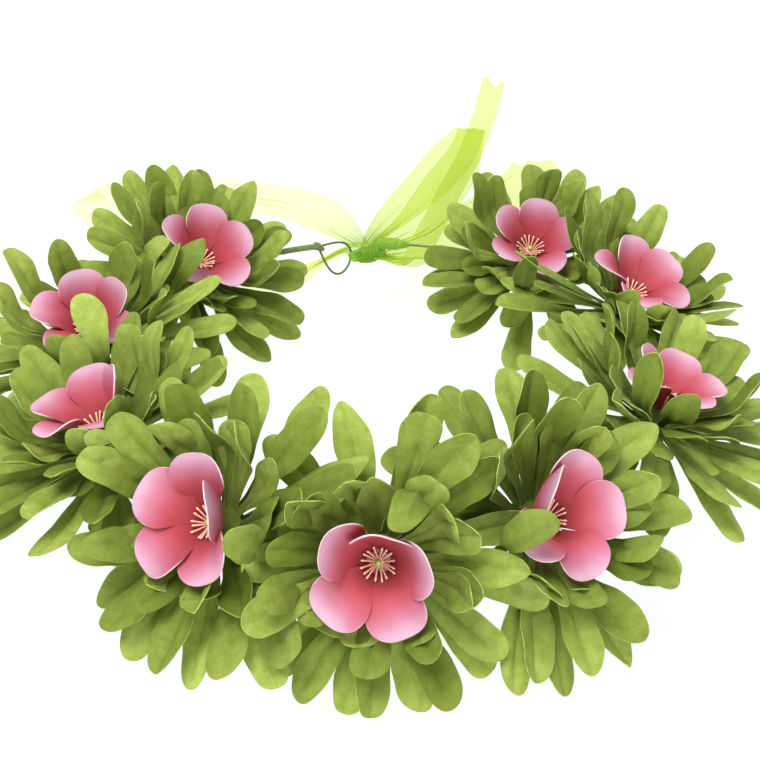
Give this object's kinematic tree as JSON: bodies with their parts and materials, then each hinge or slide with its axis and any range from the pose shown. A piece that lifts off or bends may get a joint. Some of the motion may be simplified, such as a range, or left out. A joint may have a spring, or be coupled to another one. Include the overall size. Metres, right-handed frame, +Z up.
{
  "type": "flower crown",
  "caption": "Wearable wreath of fabric blossoms and leaves on a taped wire band, open at the back and tied with a sheer ribbon bow.",
  "frame": {"origin": "middle of the flat inner face of the band at the front, where it rests on the forehead", "axes": "+Y from the forehead back towards the ribbon, +Z up with the band lying level, +X to the wearer's right as seen from the front"},
  "size_m": [0.2807, 0.4447, 0.0829],
  "materials": {
    "leaf_fabric": "matte",
    "petal_fabric": "matte",
    "stamens": "gloss",
    "taped_wire": "matte",
    "ribbon": "sheer"
  },
  "bodies": {
    "head_1": {"band_wire_1": "taped_wire", "lower_leaves_1": "leaf_fabric", "middle_leaves_1": "leaf_fabric", "upper_leaves_1": "leaf_fabric", "stamens_1": "stamens", "ribbon_knot": "ribbon"},
    "flower_1": {"petals_1": "petal_fabric"},
    "head_2": {"band_wire_2": "taped_wire", "lower_leaves_2": "leaf_fabric", "middle_leaves_2": "leaf_fabric", "upper_leaves_2": "leaf_fabric", "stamens_2": "stamens"},
    "flower_2": {"petals_2": "petal_fabric"},
    "head_3": {"band_wire_3": "taped_wire", "lower_leaves_3": "leaf_fabric", "middle_leaves_3": "leaf_fabric", "upper_leaves_3": "leaf_fabric", "stamens_3": "stamens"},
    "flower_3": {"petals_3": "petal_fabric"},
    "head_4": {"band_wire_4": "taped_wire", "lower_leaves_4": "leaf_fabric", "middle_leaves_4": "leaf_fabric", "upper_leaves_4": "leaf_fabric", "stamens_4": "stamens"},
    "flower_4": {"petals_4": "petal_fabric"},
    "head_5": {"band_wire_5": "taped_wire", "lower_leaves_5": "leaf_fabric", "middle_leaves_5": "leaf_fabric", "upper_leaves_5": "leaf_fabric", "stamens_5": "stamens"},
    "flower_5": {"petals_5": "petal_fabric"},
    "head_6": {"band_wire_6": "taped_wire", "lower_leaves_6": "leaf_fabric", "middle_leaves_6": "leaf_fabric", "upper_leaves_6": "leaf_fabric", "stamens_6": "stamens"},
    "flower_6": {"petals_6": "petal_fabric"},
    "head_7": {"band_wire_7": "taped_wire", "lower_leaves_7": "leaf_fabric", "middle_leaves_7": "leaf_fabric", "upper_leaves_7": "leaf_fabric", "stamens_7": "stamens"},
    "flower_7": {"petals_7": "petal_fabric"},
    "head_8": {"band_wire_8": "taped_wire", "lower_leaves_8": "leaf_fabric", "middle_leaves_8": "leaf_fabric", "upper_leaves_8": "leaf_fabric", "stamens_8": "stamens"},
    "flower_8": {"petals_8": "petal_fabric"},
    "head_9": {"band_wire_9": "taped_wire", "lower_leaves_9": "leaf_fabric", "middle_leaves_9": "leaf_fabric", "upper_leaves_9": "leaf_fabric", "stamens_9": "stamens", "ribbon_wrap": "ribbon"},
    "flower_9": {"petals_9": "petal_fabric"},
    "ribbon_bow_left": {"ribbon_bow_left": "ribbon"},
    "ribbon_bow_right": {"ribbon_bow_right": "ribbon"},
    "ribbon_tail_long": {"ribbon_tail_long": "ribbon"},
    "ribbon_tail_short": {"ribbon_tail_short": "ribbon"}
  },
  "joints": [
    {"name": "bend_left_1", "type": "hinge", "parent": "head_5", "child": "head_4", "pos_m": [-0.02258, 0.00158, 0], "axis": [0, 0, 1], "range_deg": [0, 5]},
    {"name": "bend_left_2", "type": "hinge", "parent": "head_4", "child": "head_3", "pos_m": [-0.06599, 0.02552, 0], "axis": [0, 0, 1], "range_deg": [0, 5]},
    {"name": "bend_left_3", "type": "hinge", "parent": "head_3", "child": "head_2", "pos_m": [-0.09301, 0.07451, 0], "axis": [0, 0, 1], "range_deg": [0, 5]},
    {"name": "bend_left_4", "type": "hinge", "parent": "head_2", "child": "head_1", "pos_m": [-0.0861, 0.134, 0], "axis": [0, 0, 1], "range_deg": [0, 5]},
    {"name": "bend_right_1", "type": "hinge", "parent": "head_5", "child": "head_6", "pos_m": [0.02258, 0.00158, 0], "axis": [0, 0, -1], "range_deg": [0, 5]},
    {"name": "bend_right_2", "type": "hinge", "parent": "head_6", "child": "head_7", "pos_m": [0.07032, 0.02998, 0], "axis": [0, 0, -1], "range_deg": [0, 5]},
    {"name": "bend_right_3", "type": "hinge", "parent": "head_7", "child": "head_8", "pos_m": [0.09497, 0.09137, 0], "axis": [0, 0, -1], "range_deg": [0, 5]},
    {"name": "bend_right_4", "type": "hinge", "parent": "head_8", "child": "head_9", "pos_m": [0.07922, 0.14629, 0], "axis": [0, 0, -1], "range_deg": [0, 5]},
    {"name": "petal_turn_1", "type": "hinge", "parent": "head_1", "child": "flower_1", "pos_m": [-0.06343, 0.15511, 0.00986], "axis": [0.3377, -0.3261, 0.8829], "continuous": true},
    {"name": "petal_turn_2", "type": "hinge", "parent": "head_2", "child": "flower_2", "pos_m": [-0.09694, 0.10352, 0.01163], "axis": [-0.0271, -0.2574, 0.9659], "continuous": true},
    {"name": "petal_turn_3", "type": "hinge", "parent": "head_3", "child": "flower_3", "pos_m": [-0.08625, 0.04561, 0.01129], "axis": [-0.2947, 0.1112, 0.9491], "continuous": true},
    {"name": "petal_turn_4", "type": "hinge", "parent": "head_4", "child": "flower_4", "pos_m": [-0.04797, 0.00246, 0.00871], "axis": [-0.4756, -0.5375, 0.6964], "continuous": true},
    {"name": "petal_turn_5", "type": "hinge", "parent": "head_5", "child": "flower_5", "pos_m": [-0.00021, -0.01149, 0.00605], "axis": [-0.1045, -0.8861, 0.4515], "continuous": true},
    {"name": "petal_turn_6", "type": "hinge", "parent": "head_6", "child": "flower_6", "pos_m": [0.04794, 0.00251, 0.00875], "axis": [0.4642, -0.5156, 0.7202], "continuous": true},
    {"name": "petal_turn_7", "type": "hinge", "parent": "head_7", "child": "flower_7", "pos_m": [0.09248, 0.05705, 0.01101], "axis": [0.3136, 0.1524, 0.9372], "continuous": true},
    {"name": "petal_turn_8", "type": "hinge", "parent": "head_8", "child": "flower_8", "pos_m": [0.09258, 0.12522, 0.01161], "axis": [0.3925, -0.1207, 0.9118], "continuous": true},
    {"name": "petal_turn_9", "type": "hinge", "parent": "head_9", "child": "flower_9", "pos_m": [0.06058, 0.16021, 0.01068], "axis": [0.0757, -0.3778, 0.9228], "continuous": true},
    {"name": "drape_tail_long", "type": "hinge", "parent": "head_1", "child": "ribbon_tail_long", "pos_m": [0, 0.18885, -0.005], "axis": [-1, 0, 0], "range_deg": [0, 60]},
    {"name": "drape_tail_short", "type": "hinge", "parent": "head_1", "child": "ribbon_tail_short", "pos_m": [0, 0.18885, -0.005], "axis": [-1, 0, 0], "range_deg": [0, 51]},
    {"name": "drape_bow_right", "type": "hinge", "parent": "head_1", "child": "ribbon_bow_right", "pos_m": [0, 0.18885, -0.005], "axis": [-1, 0, 0], "range_deg": [0, 36]},
    {"name": "drape_bow_left", "type": "hinge", "parent": "head_1", "child": "ribbon_bow_left", "pos_m": [0, 0.18885, -0.005], "axis": [-1, 0, 0], "range_deg": [0, 36]}
  ],
  "couplings": [
    {"joint": "bend_left_2", "follows": "bend_left_1", "ratio": 1},
    {"joint": "bend_left_3", "follows": "bend_left_1", "ratio": 1},
    {"joint": "bend_left_4", "follows": "bend_left_1", "ratio": 1},
    {"joint": "bend_right_1", "follows": "bend_left_1", "ratio": 1},
    {"joint": "bend_right_2", "follows": "bend_left_1", "ratio": 1},
    {"joint": "bend_right_3", "follows": "bend_left_1", "ratio": 1},
    {"joint": "bend_right_4", "follows": "bend_left_1", "ratio": 1},
    {"joint": "drape_tail_short", "follows": "drape_tail_long", "ratio": 0.85},
    {"joint": "drape_bow_right", "follows": "drape_tail_long", "ratio": 0.6},
    {"joint": "drape_bow_left", "follows": "drape_tail_long", "ratio": 0.6}
  ]
}
